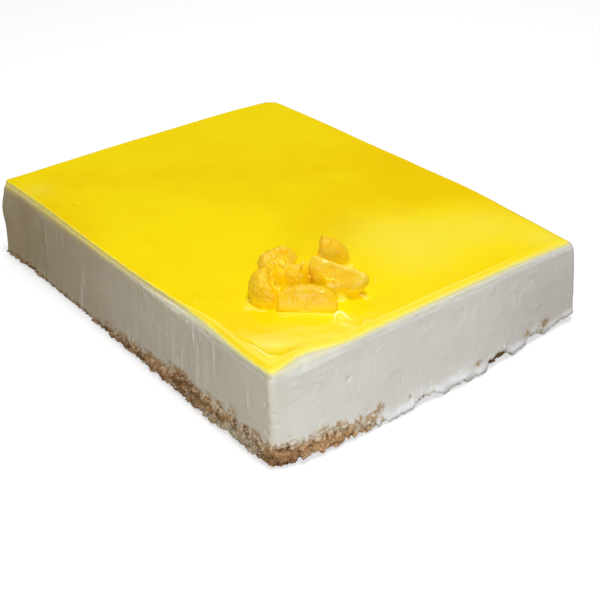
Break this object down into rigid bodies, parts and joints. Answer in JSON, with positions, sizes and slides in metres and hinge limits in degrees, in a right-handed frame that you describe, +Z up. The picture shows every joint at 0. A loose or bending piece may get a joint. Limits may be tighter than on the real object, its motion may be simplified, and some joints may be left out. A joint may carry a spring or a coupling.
{
  "type": "lemon mousse slab",
  "caption": "Uncut rectangular mousse slab on a biscuit crumb base, topped with a thin lemon jelly and a small pile of mandarin segments.",
  "frame": {"origin": "middle of the slab's footprint, on the surface that it stands on", "axes": "+Z up, +X along the short side, +Y along the long side away from the front"},
  "size_m": [0.2524, 0.3418, 0.0805],
  "materials": {
    "crumb": "dry baked biscuit crumb, rough and craggy",
    "mousse": "satin white mousse, knife-smoothed",
    "jelly": "glossy translucent lemon jelly",
    "mandarin": "wet translucent fruit under a thin glaze"
  },
  "bodies": {
    "root": {"crumb_base": "crumb", "lemon_mousse": "mousse", "lemon_jelly": "jelly", "mandarin_segment_1": "mandarin", "mandarin_segment_2": "mandarin", "mandarin_segment_3": "mandarin", "mandarin_segment_4": "mandarin", "mandarin_segment_5": "mandarin", "mandarin_segment_6": "mandarin"}
  },
  "joints": []
}
